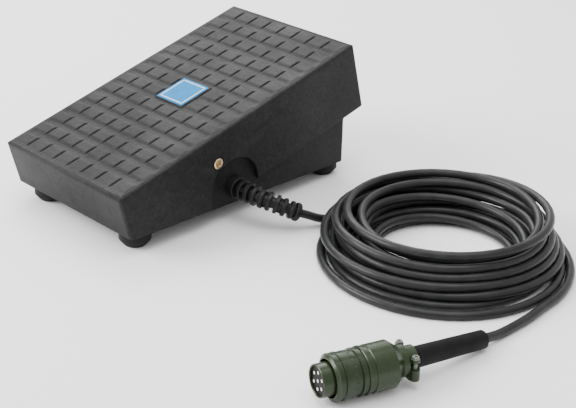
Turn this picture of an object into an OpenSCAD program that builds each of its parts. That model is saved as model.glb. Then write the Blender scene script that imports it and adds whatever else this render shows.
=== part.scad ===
// Industrial foot switch: a remote foot control with a rocking pedal, a low base box on rubber feet,
// a geared potentiometer, a plunger switch, and a coiled cord that ends in a circular plug.
// Millimetres, +Z up, the toe end points to +Y. The origin is on the floor under the pedal's centre.

/* [Pedal] */
// Width of the pedal across its side skirts
pedal_w = 150; // [130:1:180]
// Length of the tread plate along its slope
pedal_l = 259; // [235:1:290]
// Slope of the tread at rest, in degrees
slope = 15; // [14:0.5:18]
// Height of the tread's heel edge above the floor
heel_h = 52; // [50:0.5:60]
// Height of the toe wall, square to the tread
toe_wall = 60; // [52:1:66]
// Height of the skirt's level edge above the floor
skirt_z = 15; // [14:0.5:18]
// Thickness of the skirts
skirt_t = 3; // [2.4:0.1:3.4]
// Thickness of the tread plate, pads included
tread_t = 3.6; // [3:0.1:4.5]
// Radius of the pedal's outer edges
edge_r = 4; // [3.5:0.1:6]

/* [Tread] */
// Columns of pads across the tread
pad_cols = 8; // [6:2:8]
// Rows of pads along the tread
pad_rows = 14; // [10:2:14]
// Distance from pad to pad
pad_pitch = 17.8; // [15:0.1:18]
// Width of a groove at the tread's surface
groove_w = 2.4; // [1.6:0.1:3.2]
// Width of a groove at its floor
groove_floor_w = 1.4; // [0.8:0.1:1.5]
// Depth of the grooves
groove_d = 1.2; // [0.8:0.1:1.6]
// Side of the square emblem plate
emblem_w = 31; // [26:0.5:32]
// Thickness of the emblem plate
emblem_t = 1; // [0.8:0.1:1.2]

/* [Pivot] */
// Distance of the pivot from the tread's heel edge, measured level
pivot_back = 97; // [90:1:105]
// Height of the pivot axis above the floor
pivot_h = 53.5; // [52:0.5:55]
// Travel of the pedal, in degrees
travel = 12; // [8:0.5:12]
// Radius of the pivot screw's shoulder
shoulder_r = 3; // [2.5:0.1:3.4]
// Outer radius of the pivot bush
bush_r = 4.2; // [4:0.1:5]
// Radius of the pivot screw's head
pivot_head_r = 4.4; // [4.2:0.1:5.5]
// Thickness of the pivot screw's head
pivot_head_t = 1.2; // [0.8:0.1:2]

/* [Base box] */
// Side clearance between the base box and the skirts
side_gap = 0.5; // [0.4:0.1:1]
// Thickness of the base box's walls
base_t = 3; // [2.4:0.1:3.6]
// Thickness of the base box's floor
floor_t = 3; // [2.4:0.1:4]
// Distance of the base box's front wall from the tread's heel edge, measured level
base_front = 14.3; // [14.3:0.1:16]
// Distance of the base box's back wall from the pedal's far end, measured level
base_back = 18.9; // [18:0.1:26]
// Radius of the base box's upright corners
base_r = 4; // [2:0.5:6]
// Clearance of the base box's rim under the pedal
rim_gap = 8; // [7:0.5:10]
// Radius of the arch in the right skirt, around the strain relief
arch_r = 25; // [22:0.5:26]

/* [Feet] */
// Height of the rubber feet
foot_h = 12.5; // [12:0.5:14]
// Radius of a foot at its top
foot_r = 12.8; // [11:0.1:13]
// Radius of a foot where it stands
foot_tip_r = 9.5; // [8:0.1:10.5]
// Height at which a foot starts to narrow
foot_step = 5.2; // [4:0.1:7]
// Distance of the feet from the centre plane
foot_x = 56; // [50:0.5:56]
// Distance of the front feet from the base box's front
foot_front = 13.5; // [13.5:0.5:20]
// Distance of the rear feet from the base box's back
foot_back = 10.5; // [10:0.5:20]

/* [Springs and stops] */
// Distance of the return springs from the toe bumpers
spring_front = 31; // [24:1:40]
// Distance of the return springs from the centre plane
spring_x = 34; // [30:1:40]
// Mean radius of a spring
spring_r = 8; // [7:0.1:9]
// Radius of the spring wire
wire_r = 0.9; // [0.7:0.05:1.1]
// Working turns of a spring
spring_turns = 7; // [5:1:9]
// Height of the spring seat on the base
spring_seat_h = 40; // [36:1:46]
// Radius of the rubber bumpers
bumper_r = 6; // [5:0.1:7]
// Height of the rubber bumpers
bumper_h = 6; // [5:0.1:7]
// Distance of the bumpers from the centre plane
bumper_x = 44; // [40:1:52]

/* [Gears] */
// Module of the gear teeth
gear_m = 1; // [1:0.05:1.05]
// Teeth that the sector would have as a full wheel
sector_teeth = 96; // [92:1:98]
// Teeth of the pinion
pinion_teeth = 12; // [12:1:13]
// Thickness of the sector
sector_t = 5; // [4:0.5:6]
// Distance of the sector's middle from the centre plane
sector_x = 22; // [20:0.5:23]
// Extra clearance where the teeth mesh
mesh_play = 0.12; // [0.1:0.01:0.2]

/* [Potentiometer and switch] */
// Radius of the potentiometer's can
pot_r = 12; // [10:0.5:13]
// Length of the potentiometer's can
pot_l = 11; // [9:0.5:14]
// Radius of the potentiometer's shaft
shaft_r = 3; // [2.5:0.1:3]
// Thickness of the potentiometer's bracket
bracket_t = 2; // [1.5:0.1:2.5]
// Length of the plunger switch
switch_l = 28; // [26:0.5:30]
// Height of the plunger switch
switch_h = 16; // [15:0.5:17]
// Thickness of the plunger switch
switch_t = 10.3; // [9:0.1:10.3]
// Stroke of the switch's plunger over the pedal's travel
stroke = 1.2; // [0.8:0.1:1.6]

/* [Cord] */
// Diameter of the cord
cord_d = 6.8; // [6:0.1:7.2]
// Height of the strain relief's middle where it leaves the base
relief_h = 27.8; // [27:0.1:29]
// Distance of the strain relief behind the pivot
relief_back = 19; // [18:0.5:21]
// Length of the strain relief's smooth collar
collar_l = 8; // [6:0.5:10]
// Radius of the strain relief at its collar
relief_r = 8.8; // [8:0.1:9.5]
// Radius of the strain relief's last rib
relief_tip_r = 7.4; // [6.5:0.1:8]
// Ribs along the strain relief
relief_ribs = 9; // [7:1:10]
// Inner radius of the coil
coil_in_r = 46; // [40:1:52]
// Outer radius of the coil
coil_out_r = 104; // [100:1:106]
// Height of the coil
coil_h = 44; // [38:1:48]

/* [Plug] */
// Radius of the coupling nut
nut_r = 15.9; // [15.5:0.1:15.9]
// Radius of the backshell
backshell_r = 16.2; // [16.2:0.1:17]
// Outer radius of the plug's barrel
barrel_r = 11.1; // [10.8:0.1:11.3]
// Wall of the plug's barrel
barrel_t = 1.2; // [1:0.1:1.5]
// Distance that the barrel stands out of the nut
barrel_out = 8; // [6:0.5:9]
// Length of the coupling nut
nut_l = 22; // [20:0.5:24]
// Length of the backshell with its cone
backshell_l = 27; // [25:0.5:30]
// Radius of a contact
contact_r = 1.1; // [0.8:0.1:1.3]
// Radius of the circle of contacts
contact_ring_r = 6; // [5:0.1:6.5]
// Radius of the rubber sleeve in the cable clamp
sleeve_r = 7.3; // [7:0.1:7.5]
// Radius of the rubber sleeve at its end
sleeve_tip_r = 6.6; // [6:0.1:7]
// Length of the rubber sleeve behind the cable clamp
sleeve_l = 66; // [60:1:72]

/* [Hidden] */
foot_screw_l = 14;
strap_screw_l = 14;
$fn = 48;
EPS = 0.05;               // overrun of a cut, so that no skin is left
SEAT = 0.05;              // gap between pieces that are pressed or screwed together
RUN = 0.05;               // radial clearance of a turning or sliding fit
TOUCH = 0.3;              // gap at a stop, or between bodies that pass each other

// Where the pedal and its pivot lie
overall_l = pedal_l * cos(slope) + toe_wall * sin(slope);
heel_round = edge_r * (cos(slope) + sin(slope) - 1);
heel_y = -(overall_l + heel_round) / 2;
pivot_y = heel_y + pivot_back;
side_x = pedal_w / 2;
base_side_x = side_x - skirt_t - side_gap;

// The underside of the tread plate: its distance from the pivot, and its height at y
// when the pedal has turned by a degrees
under_c = (heel_h + pivot_back * tan(slope) - pivot_h) * cos(slope) - tread_t;
function under_z(y, a) = pivot_h + under_c / cos(slope - a) + (y - pivot_y) * tan(slope - a);

base_y0 = heel_y + base_front;
base_y1 = heel_y + overall_l - base_back;
base_l = base_y1 - base_y0;
base_z = foot_h;
floor_z = base_z + floor_t;

// Bumpers near each end of the base box stop the pedal
bumper_in = 14;           // distance of the bumpers from the box's end walls
heel_bumper_y = base_y0 + bumper_in;
toe_bumper_y = base_y1 - bumper_in;
heel_stop_z = under_z(heel_bumper_y - bumper_r, 0) - TOUCH;
toe_stop_z = under_z(toe_bumper_y - bumper_r, travel) - TOUCH;

// The sector gear turns about the pivot and drives the pinion
sector_r = gear_m * sector_teeth / 2;
pinion_r = gear_m * pinion_teeth / 2;
mesh_a = -20;             // direction of the pinion from the pivot
press_a = 25;             // pressure angle of the teeth
tooth_thin = 0.1;         // taken off each flank
gear_d = sector_r + pinion_r + mesh_play;
pinion_y = pivot_y + gear_d * cos(mesh_a);
pinion_z = pivot_h + gear_d * sin(mesh_a);
sector_x0 = sector_x - sector_t / 2;
sector_x1 = sector_x + sector_t / 2;
pinion_over = 1.5;        // how far the pinion is wider than the sector on each side
pot_nut_t = 2.3;
pot_washer_t = 0.7;
bushing_r = 4.7;
lug_gap = 5;              // distance between the solder lugs
bracket_x = sector_x1 + pinion_over + 1 + pot_nut_t + pot_washer_t + 1.2;
pot_x = bracket_x + bracket_t + SEAT;

// The cam on the sector presses the plunger of the switch under the pivot
switch_z = floor_z + SEAT;
switch_top = switch_z + switch_h;
plunger_r = 1.6;
plunger_up = 2.5;         // how far the plunger stands up at rest
plunger_deep = 6;         // depth of its hole in the switch
cam_rest_r = pivot_h - switch_top - plunger_up - TOUCH;
rib_x = sector_x + switch_t / 2 + SEAT;

// Screws
m3_r = 1.5;
m4_r = 2;
m5_r = 2.5;

// The strain relief leaves the base straight, then bends in one arc
relief_y = pivot_y + relief_back;
relief_bend_r = 50.8;
relief_bend = 61;         // degrees
relief_dip = -29;         // tilt of the bend's plane
relief_x0 = base_side_x + collar_l;
neck_r = 7;
cord_r = cord_d / 2;

// Routes of the cord where it isn't coiled. They lie on the floor between the strain relief, the
// coil and the sleeve.
lead_route = [[128, 13.5, 11.6], [131, 20.5, 8.2], [133.4, 28, 5.8], [134.8, 33, 5]];
tail_route = [[334.4, 38, 3.5], [335.6, 26, 3.4], [335.9, 14, 3.4], [335.8, 2, 3.4],
    [335.5, -10, 3.8], [335.1, -19, 5]];
coil_at = [233.6, 55];

// The plug lies on the floor. Lengths along it are measured from the barrel's mouth.
plug_at = [305, -160];
plug_yaw = 71;
nut_t0 = barrel_out;
nut_t1 = nut_t0 + nut_l;
backshell_t0 = nut_t1 + TOUCH;
backshell_t1 = backshell_t0 + backshell_l;
clamp_neck_r = 11.4;
clamp_t1 = backshell_t1 + 12;
sleeve_pitch = 8;
sleeve_yaw = 12.5;

// ---------------------------------------------------------------- helpers

// children drawn in the tread's own frame: +Y up the slope, +Z square to the tread
module on_tread() {
    translate([0, heel_y, heel_h]) rotate([slope, 0, 0]) children();
}

// a 2-D outline whose x is the part's Y and whose y is the part's Z, pushed out along +X
module across(x0, len) {
    translate([x0, 0, 0]) rotate([90, 0, 90]) linear_extrude(len) children();
}

// a cylinder along +X
module rod_x(x0, x1, r) {
    translate([x0, 0, 0]) rotate([0, 90, 0]) cylinder(r = r, h = x1 - x0);
}

module at_pivot() {
    translate([0, pivot_y, pivot_h]) children();
}

module at_pinion() {
    translate([0, pinion_y, pinion_z]) children();
}

module both_sides() {
    children();
    mirror([1, 0, 0]) children();
}

// a rectangle with round corners, from the origin
module round_rect(a, b, r) {
    translate([r, 0]) square([a - 2 * r, b]);
    translate([0, r]) square([a, b - 2 * r]);
    for (x = [r, a - r], y = [r, b - r]) {
        translate([x, y]) circle(r = r);
    }
}

// a block w wide and l long that hangs from z = 0 to -h, its top edges and upright corners round
module round_block(w, l, h, r) {
    intersection() {
        translate([-w / 2, 0, -h]) linear_extrude(h) round_rect(w, l, r);
        translate([0, 0, -h - 2 * r]) across(-w / 2, w) round_rect(l, h + 2 * r, r);
        translate([-w / 2, l, -h - 2 * r]) rotate([90, 0, 0]) linear_extrude(l) round_rect(w, h + 2 * r, r);
    }
}

// flat ring
module washer(outer, inner, t) {
    difference() {
        cylinder(r = outer, h = t);
        translate([0, 0, -EPS]) cylinder(r = inner, h = t + 2 * EPS);
    }
}

// pan-head screw, its shank up from z = 0 and its head below
module pan_screw(r, l, head_r, head_t) {
    cylinder(r = r, h = l);
    difference() {
        translate([0, 0, -head_t]) cylinder(r1 = head_r * 0.82, r2 = head_r, h = head_t);
        for (a = [0, 90]) {
            translate([0, 0, -head_t]) rotate([0, 0, a]) cube([head_r * 1.1, head_r * 0.25, head_t], true);
        }
    }
}

function unit(v) = v / norm(v);
function along(p, i) = unit(p[min(i + 1, len(p) - 1)] - p[max(i - 1, 0)]);

// points of a smooth curve through p, n to a stretch
function smooth(p, n) = [
    for (i = [0:len(p) - 2], k = [0:n - 1])
        let (
            a = p[max(i - 1, 0)], b = p[i], c = p[i + 1], d = p[min(i + 2, len(p) - 1)], t = k / n
        )
        0.5 * (2 * b + (c - a) * t + (2 * a - 5 * b + 4 * c - d) * t * t
            + (3 * b - a - 3 * c + d) * t * t * t),
    p[len(p) - 1]
];

// a tube of radius r along the points p
module tube_along(p, r, sides) {
    n = len(p);
    rings = [
        for (i = [0:n - 1])
            let (t = along(p, i), s = unit(cross([0, 0, 1], t)), u = cross(t, s))
            for (k = [0:sides - 1]) p[i] + r * (cos(360 * k / sides) * s + sin(360 * k / sides) * u)
    ];
    faces = concat(
        [[for (k = [0:sides - 1]) k]],
        [[for (k = [0:sides - 1]) n * sides - 1 - k]],
        [
            for (i = [0:n - 2], k = [0:sides - 1], half = [0, 1])
                let (
                    a = i * sides + k, b = i * sides + (k + 1) % sides, c = a + sides, d = b + sides
                )
                half == 0 ? [a, c, b] : [b, c, d]
        ]
    );
    polyhedron(rings, faces, convexity = 10);
}

// ---------------------------------------------------------------- pedal

module skirt_outline_above() {
    translate([-pedal_w, heel_y - pedal_l, skirt_z]) cube([2 * pedal_w, 3 * pedal_l, 2 * pedal_l]);
}

// one groove of the tread, its middle on the line x = 0 and its length along +Y
module groove(len) {
    translate([0, len, 0]) rotate([90, 0, 0]) linear_extrude(len) polygon([
        [-groove_w / 2, EPS], [-groove_floor_w / 2, -groove_d],
        [groove_floor_w / 2, -groove_d], [groove_w / 2, EPS],
    ]);
}

field_w = pad_cols * pad_pitch;
field_l = pad_rows * pad_pitch;
field_u = (pedal_l - field_l) / 2;

module grooves() {
    difference() {
        union() {
            for (i = [0:pad_cols]) {
                translate([-field_w / 2 + i * pad_pitch, field_u - groove_w / 2, 0])
                    groove(field_l + groove_w);
            }
            for (j = [0:pad_rows]) {
                translate([field_w / 2 + groove_w / 2, field_u + j * pad_pitch, 0])
                    rotate([0, 0, 90]) groove(field_w + groove_w);
            }
        }
        translate([0, pedal_l / 2, 0])
            cube([2 * pad_pitch - groove_w, 2 * pad_pitch - groove_w, 4 * groove_d], true);
    }
}

emblem_sink = 0.8;        // how deep the emblem plate lies in its island
sink_w = emblem_w + 0.4;
rib_t = 2;
rib_d = 4.5;
under_rows = [0.12, 0.3, 0.62, 0.8, 0.93];
seat_boss_r = spring_r + wire_r + 2;
spring_y = toe_bumper_y - spring_front;
spring_top = under_z(spring_y - seat_boss_r, 0) - 2;
guide_r = spring_r - wire_r - 1;
guide_up = 6;             // height of the pegs inside the springs
flange_u0 = 8;            // the sector's flange, measured up the slope from the pivot
flange_l = 34;
flange_w = 30;
flange_t = 4;

// ribs and bosses under the tread plate
module under_ribs() {
    on_tread() translate([0, 0, -tread_t - rib_d]) {
        for (s = under_rows) {
            translate([-side_x + skirt_t, s * pedal_l - rib_t / 2, 0])
                cube([pedal_w - 2 * skirt_t, rib_t, rib_d + EPS]);
        }
        for (x = [-58, -10, 10, 58] * pedal_w / 150) {
            translate([x - rib_t / 2, skirt_t, 0]) cube([rib_t, pedal_l - 2 * skirt_t, rib_d + EPS]);
        }
    }
}

// clear space that the ribs leave round what works under the pedal
module rib_clearances() {
    at_pivot() rotate([slope, 0, 0])
        translate([sector_x - flange_w / 2 - 1, flange_u0 - 1, under_c - rib_d - 2])
            cube([flange_w + 2, flange_l + 2, rib_d + 2]);
    both_sides() {
        translate([bumper_x, heel_bumper_y, 0]) cylinder(r = bumper_r + 2, h = 3 * pivot_h);
        translate([bumper_x, toe_bumper_y, 0]) cylinder(r = bumper_r + 4, h = 3 * pivot_h);
    }
}

// the pegs that hold the springs under the plate, upright at rest
module spring_caps() {
    both_sides() intersection() {
        translate([spring_x, spring_y, spring_top]) {
            cylinder(r = seat_boss_r, h = 40);
            translate([0, 0, -guide_up]) cylinder(r = guide_r, h = 2 * guide_up);
        }
        on_tread() translate([-pedal_w, 0, -toe_wall]) cube([2 * pedal_w, pedal_l, toe_wall - tread_t + EPS]);
    }
}

module pedal_cover() color([0.13, 0.13, 0.14]) difference() {
    union() {
        difference() {
            intersection() {
                on_tread() round_block(pedal_w, pedal_l, toe_wall, edge_r);
                skirt_outline_above();
            }
            on_tread() translate([0, skirt_t, -tread_t])
                round_block(pedal_w - 2 * skirt_t, pedal_l - 2 * skirt_t, toe_wall,
                    max(edge_r - skirt_t, 0.8));
            on_tread() grooves();
            on_tread() translate([-sink_w / 2, pedal_l / 2 - sink_w / 2, -emblem_sink])
                cube([sink_w, sink_w, 5]);
            // the arch around the strain relief, open downwards
            translate([0, relief_y, relief_h]) {
                rod_x(side_x - 2 * skirt_t, side_x + 1, arch_r);
                translate([side_x - 2 * skirt_t, -arch_r, -relief_h])
                    cube([2 * skirt_t + 1, 2 * arch_r, relief_h]);
            }
        }
        difference() {
            under_ribs();
            rib_clearances();
        }
        spring_caps();
    }
    at_pivot() rod_x(-side_x - 1, side_x + 1, bush_r + SEAT);
    // pilot holes for the two screws of the sector's flange
    sector_screw_places() translate([0, 0, -EPS]) cylinder(r = m3_r + SEAT, h = 2.4 + EPS);
}

module emblem_plate() color([0.35, 0.62, 0.8]) on_tread() {
    translate([-emblem_w / 2, pedal_l / 2 - emblem_w / 2, SEAT - emblem_sink])
        linear_extrude(emblem_t) round_rect(emblem_w, emblem_w, 1);
}

module pivot_bushes() color([0.8, 0.66, 0.35]) both_sides() at_pivot() difference() {
    rod_x(side_x - skirt_t, side_x, bush_r);
    rod_x(side_x - skirt_t - 1, side_x + 1, shoulder_r + RUN);
}

// ---------------------------------------------------------------- sector gear

function inv(a) = tan(a) * 180 / PI - a;

// half the angle of a tooth of an n-tooth wheel at radius r, thinned by the same amount on every wheel
function half_tooth(n, r) =
    let (pitch_r = gear_m * n / 2, base_r = pitch_r * cos(press_a))
    90 / n - tooth_thin / pitch_r * 180 / PI + inv(press_a) - inv(acos(min(1, base_r / max(r, base_r))));

function polar(r, a) = [r * cos(a), r * sin(a)];

// outline of one tooth that points along angle a
function tooth(n, a) =
    let (
        pitch_r = gear_m * n / 2,
        root_r = pitch_r - 1.25 * gear_m,
        flank0 = max(root_r, pitch_r * cos(press_a)),
        tip_r = pitch_r + gear_m,
        radii = [for (i = [0:5]) flank0 + (tip_r - flank0) * i / 5],
        foot = half_tooth(n, flank0)
    )
    concat(
        [polar(root_r - 0.4, a - foot), polar(root_r, a - foot)],
        [for (r = radii) polar(r, a - half_tooth(n, r))],
        [for (i = [5:-1:0]) polar(radii[i], a + half_tooth(n, radii[i]))],
        [polar(root_r, a + foot), polar(root_r - 0.4, a + foot)]
    );

sector_lo = mesh_a - 9.5; // first and last direction of the toothed rim at rest
sector_hi = mesh_a + travel + 9.5;
rim_in_r = sector_r - 11;
hub_r = cam_rest_r - 4;
tooth_step = 360 / sector_teeth;

function cam_r(a) = cam_rest_r + stroke * (a + 90) / travel;

module sector_outline() {
    root_r = sector_r - 1.25 * gear_m;
    // toothed rim
    difference() {
        polygon(concat([[0, 0]], [for (i = [0:12])
            polar(root_r, sector_lo + (sector_hi - sector_lo) * i / 12)]));
        circle(r = rim_in_r, $fn = 120);
    }
    for (k = [ceil((sector_lo + 2 - mesh_a) / tooth_step):floor((sector_hi - 2 - mesh_a) / tooth_step)]) {
        polygon(tooth(sector_teeth, mesh_a + k * tooth_step));
    }
    // hub with the cam on its lower side
    circle(r = hub_r);
    polygon(concat([[0, 0]], [for (a = [-99:2.25:-72]) polar(cam_r(a), a)]));
    // spokes from the hub to the rim
    for (a = [sector_lo + 3, sector_hi - 3]) {
        rotate([0, 0, a]) translate([0, -3]) square([rim_in_r + 3, 6]);
    }
    // web up to the flange
    rotate([0, 0, slope]) {
        translate([flange_u0, under_c - flange_t - EPS]) square([flange_l, flange_t]);
        polygon([
            [flange_u0, under_c - flange_t], [flange_u0 + flange_l, under_c - flange_t],
            polar(rim_in_r + 6, sector_hi - slope - 1), polar(rim_in_r + 1, sector_hi - slope - 4),
                [hub_r * 0.5, 0],
        ]);
    }
}

flange_screw_x = 9.5;

module sector_screw_places() {
    for (s = [-1, 1]) {
        at_pivot() rotate([slope, 0, 0])
            translate([sector_x + s * flange_screw_x, flange_u0 + flange_l / 2, under_c]) children();
    }
}

module sector_gear() color([0.85, 0.84, 0.8]) difference() {
    union() {
        at_pivot() across(sector_x0, sector_t) sector_outline();
        at_pivot() rotate([slope, 0, 0])
            translate([sector_x - flange_w / 2, flange_u0, under_c - flange_t - EPS])
                cube([flange_w, flange_l, flange_t]);
    }
    at_pivot() rod_x(sector_x0 - 1, sector_x1 + 1, hub_r * 0.45);
    sector_screw_places() translate([0, 0, -2 * flange_t]) cylinder(r = m3_r + 0.2, h = 3 * flange_t);
}

module sector_screws() color([0.7, 0.7, 0.72]) sector_screw_places() {
    translate([0, 0, -flange_t - EPS]) pan_screw(m3_r, flange_t + 2, 2.8, 1.8);
}

// ---------------------------------------------------------------- base

foot_y0 = base_y0 + foot_front;
foot_y1 = base_y1 - foot_back;
foot_boss_h = 10;
bore_in = base_side_x - 12;       // inner end of the pivot bosses
boss_r = m5_r + 5;

module at_feet() {
    for (x = [-foot_x, foot_x], y = [foot_y0, foot_y1]) {
        translate([x, y, 0]) children();
    }
}

module base_side_outline() {
    rim0 = under_z(base_y0, 0) - rim_gap;
    rim1 = under_z(pivot_y, travel) - rim_gap;
    rim2 = under_z(base_y1, travel) - rim_gap;
    polygon([[base_y0, base_z], [base_y1, base_z], [base_y1, rim2], [pivot_y, rim1], [base_y0, rim0]]);
}

module base_shell() {
    difference() {
        intersection() {
            across(-base_side_x, 2 * base_side_x) base_side_outline();
            translate([-base_side_x, base_y0, 0]) linear_extrude(3 * pivot_h)
                round_rect(2 * base_side_x, base_l, base_r);
        }
        translate([-base_side_x + base_t, base_y0 + base_t, floor_z]) linear_extrude(3 * pivot_h)
            round_rect(2 * (base_side_x - base_t), base_l - 2 * base_t, max(base_r - base_t, 1));
    }
}

// a post on the base's floor with a blind hole in its top
module post(r, top, hole_r, hole_d) {
    translate([0, 0, floor_z - EPS]) difference() {
        cylinder(r = r, h = top - floor_z + EPS);
        translate([0, 0, top - floor_z + EPS - hole_d]) cylinder(r = hole_r, h = hole_d + 1);
    }
}

bracket_w = 34;
bracket_foot = 14;
bracket_up = 3;           // height of the bosses under the bracket
bracket_hole_x = bracket_x + bracket_t + 8;
bracket_hole_y = 11;      // distance of its screws from the pinion's axis
bracket_screw_l = bracket_t + bracket_up + 1.5;
clamp_back = 22;          // distance of the clamp from the base's side
clamp_x = base_side_x - clamp_back;
clamp_half = cord_r + 6;
clamp_t = 3;
clamp_screw_l = clamp_t + 7;
switch_hole_y = 9.5;
switch_hole_z = 3;
switch_rib_t = 3;
switch_shift = -6;        // the switch's middle, measured from the pivot
switch_end_y = pivot_y + switch_shift - switch_l / 2;
terminal_z = [4, 11];
terminal_t = 0.8;

module base_posts() {
    both_sides() {
        translate([bumper_x, heel_bumper_y, 0]) post(bumper_r, heel_stop_z - bumper_h, m4_r + SEAT, 7);
        translate([bumper_x, toe_bumper_y, 0]) post(bumper_r, toe_stop_z - bumper_h, m4_r + SEAT, 7);
        translate([spring_x, spring_y, floor_z - EPS]) {
            cylinder(r = seat_boss_r, h = spring_seat_h - floor_z + EPS);
            cylinder(r = guide_r, h = spring_seat_h - floor_z + guide_up);
        }
    }
    at_feet() translate([0, 0, floor_z - EPS]) cylinder(r = m4_r + 3.5, h = foot_boss_h + EPS);
    // low bosses for the bracket's screws
    for (s = [-1, 1]) {
        translate([bracket_hole_x, pinion_y + s * bracket_hole_y, floor_z - EPS])
            cylinder(r = 4, h = bracket_up + EPS);
    }
    // the rib that carries the plunger switch
    translate([rib_x, switch_end_y, floor_z - EPS]) cube([switch_rib_t, switch_l, switch_h]);
    // saddle under the inner cord, with a post on each side for the clamp
    translate([clamp_x - 4, relief_y - clamp_half - 4, floor_z - EPS])
        cube([8, 2 * clamp_half + 8, relief_h - cord_r - floor_z]);
    for (s = [-1, 1]) {
        translate([clamp_x, relief_y + s * clamp_half, floor_z - EPS])
            cylinder(r = 4, h = relief_h + cord_r - floor_z + EPS);
    }
}

module base_tub() color([0.11, 0.11, 0.12]) difference() {
    union() {
        base_shell();
        base_posts();
        both_sides() at_pivot() rod_x(bore_in, base_side_x - base_t + EPS, boss_r);
    }
    both_sides() at_pivot() {
        rod_x(bore_in - 1, base_side_x + 1, m5_r + SEAT);
    }
    // hole for the strain relief's neck
    translate([0, relief_y, relief_h]) rod_x(base_side_x - base_t - 1, base_side_x + 1, neck_r + SEAT);
    at_feet() cylinder(r = m4_r + SEAT, h = floor_z + foot_boss_h - 2);
    bracket_screw_places() translate([0, 0, -bracket_screw_l - 0.5])
        cylinder(r = m3_r + SEAT, h = bracket_screw_l + 1);
    clamp_screw_places() translate([0, 0, -clamp_screw_l - 0.5])
        cylinder(r = m3_r + SEAT, h = clamp_screw_l + 1);
    // the switch's screws
    for (s = [-1, 1]) {
        translate([0, pivot_y + switch_shift + s * switch_hole_y, switch_z + switch_hole_z])
            rod_x(rib_x - 1, rib_x + switch_rib_t + 1, m3_r * 0.8 + SEAT);
    }
}

module rubber_feet() color([0.07, 0.07, 0.07]) at_feet() difference() {
    union() {
        translate([0, 0, foot_step]) cylinder(r = foot_r, h = foot_h - foot_step);
        translate([0, 0, 1]) cylinder(r1 = foot_tip_r, r2 = foot_r, h = foot_step - 1);
        cylinder(r1 = foot_tip_r - 1, r2 = foot_tip_r, h = 1);
    }
    translate([0, 0, -EPS]) cylinder(r = 5, h = 6 + EPS);
    cylinder(r = m4_r + SEAT, h = foot_h + 1);
}

module foot_washers() color([0.7, 0.7, 0.72]) at_feet() translate([0, 0, 5 - SEAT])
    washer(4.6, m4_r + SEAT, 1);

module foot_screws() color([0.6, 0.6, 0.62]) at_feet() translate([0, 0, 5 - 2 * SEAT])
    pan_screw(m4_r, foot_screw_l, 3.8, 2.4);

module pivot_screws() color([0.82, 0.68, 0.38]) both_sides() at_pivot() difference() {
    union() {
        rod_x(bore_in - 5, base_side_x + SEAT, m5_r);
        rod_x(base_side_x + SEAT, side_x + 2 * SEAT, shoulder_r);
        rod_x(side_x + 2 * SEAT, side_x + 2 * SEAT + pivot_head_t, pivot_head_r);
    }
    // the driver's slot
    translate([side_x + pivot_head_t, 0, 0]) rotate([14, 0, 0]) cube([1.4, 1.1, 3 * pivot_head_r], true);
}

module pivot_nuts() color([0.8, 0.66, 0.35]) both_sides() at_pivot() difference() {
    translate([bore_in - 4 - SEAT, 0, 0]) rotate([0, 90, 0]) cylinder(r = m5_r * 1.85, h = 4, $fn = 6);
    rod_x(bore_in - 5, bore_in + 1, m5_r + SEAT);
}

module bumper(top) {
    translate([0, 0, top - bumper_h + SEAT]) {
        cylinder(r = bumper_r, h = bumper_h - 1 - SEAT);
        translate([0, 0, bumper_h - 1 - SEAT]) cylinder(r1 = bumper_r, r2 = bumper_r - 1, h = 1);
        translate([0, 0, -5]) cylinder(r = m4_r, h = 6);
    }
}

module heel_bumpers() color([0.07, 0.07, 0.07]) both_sides() translate([bumper_x, heel_bumper_y, 0])
    bumper(heel_stop_z);

module toe_bumpers() color([0.07, 0.07, 0.07]) both_sides() translate([bumper_x, toe_bumper_y, 0])
    bumper(toe_stop_z);

// a compression spring from z = 0 to h with a closed turn at each end
module spring(h) {
    dead = 1;             // closed turns at each end
    steps = 12;           // points to a turn
    turns = spring_turns + 2 * dead;
    wire_d = 2 * wire_r;
    rise = (h - wire_d - 2 * dead * wire_d * 1.05) / spring_turns;
    function lift(t) = wire_r + (t < dead ? t * wire_d * 1.05
        : t < dead + spring_turns ? dead * wire_d * 1.05 + (t - dead) * rise
        : dead * wire_d * 1.05 + spring_turns * rise + (t - dead - spring_turns) * wire_d * 1.05);
    tube_along([
        for (i = [0:steps * turns])
            let (t = i / steps)
            [spring_r * cos(360 * t), spring_r * sin(360 * t), lift(t)]
    ], wire_r, 6);
}

spring_z0 = spring_seat_h + TOUCH;
spring_z1 = spring_top - TOUCH;

module return_spring(x) color([0.75, 0.75, 0.77]) translate([x, spring_y, spring_z0])
    spring(spring_z1 - spring_z0);

module return_spring_left() return_spring(-spring_x);

module return_spring_right() return_spring(spring_x);

// ---------------------------------------------------------------- potentiometer

bracket_above = 14;
bracket_h = pinion_z + bracket_above - floor_z;

module pot_bracket() color([0.72, 0.72, 0.74]) difference() {
    translate([bracket_x, pinion_y - bracket_w / 2, floor_z + bracket_up + SEAT]) {
        cube([bracket_t, bracket_w, bracket_h - bracket_up]);
        cube([bracket_t + bracket_foot, bracket_w, bracket_t]);
    }
    at_pinion() rod_x(bracket_x - 1, bracket_x + bracket_t + 1, bushing_r + SEAT);
    bracket_screw_places() cylinder(r = m3_r + 0.2, h = 20, center = true);
}

module bracket_screw_places() {
    for (s = [-1, 1]) {
        translate([bracket_hole_x, pinion_y + s * bracket_hole_y, floor_z + bracket_up + bracket_t
            + 2 * SEAT]) children();
    }
}

module bracket_screws() color([0.6, 0.6, 0.62]) bracket_screw_places() mirror([0, 0, 1])
    pan_screw(m3_r, bracket_screw_l, 2.8, 1.8);

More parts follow.
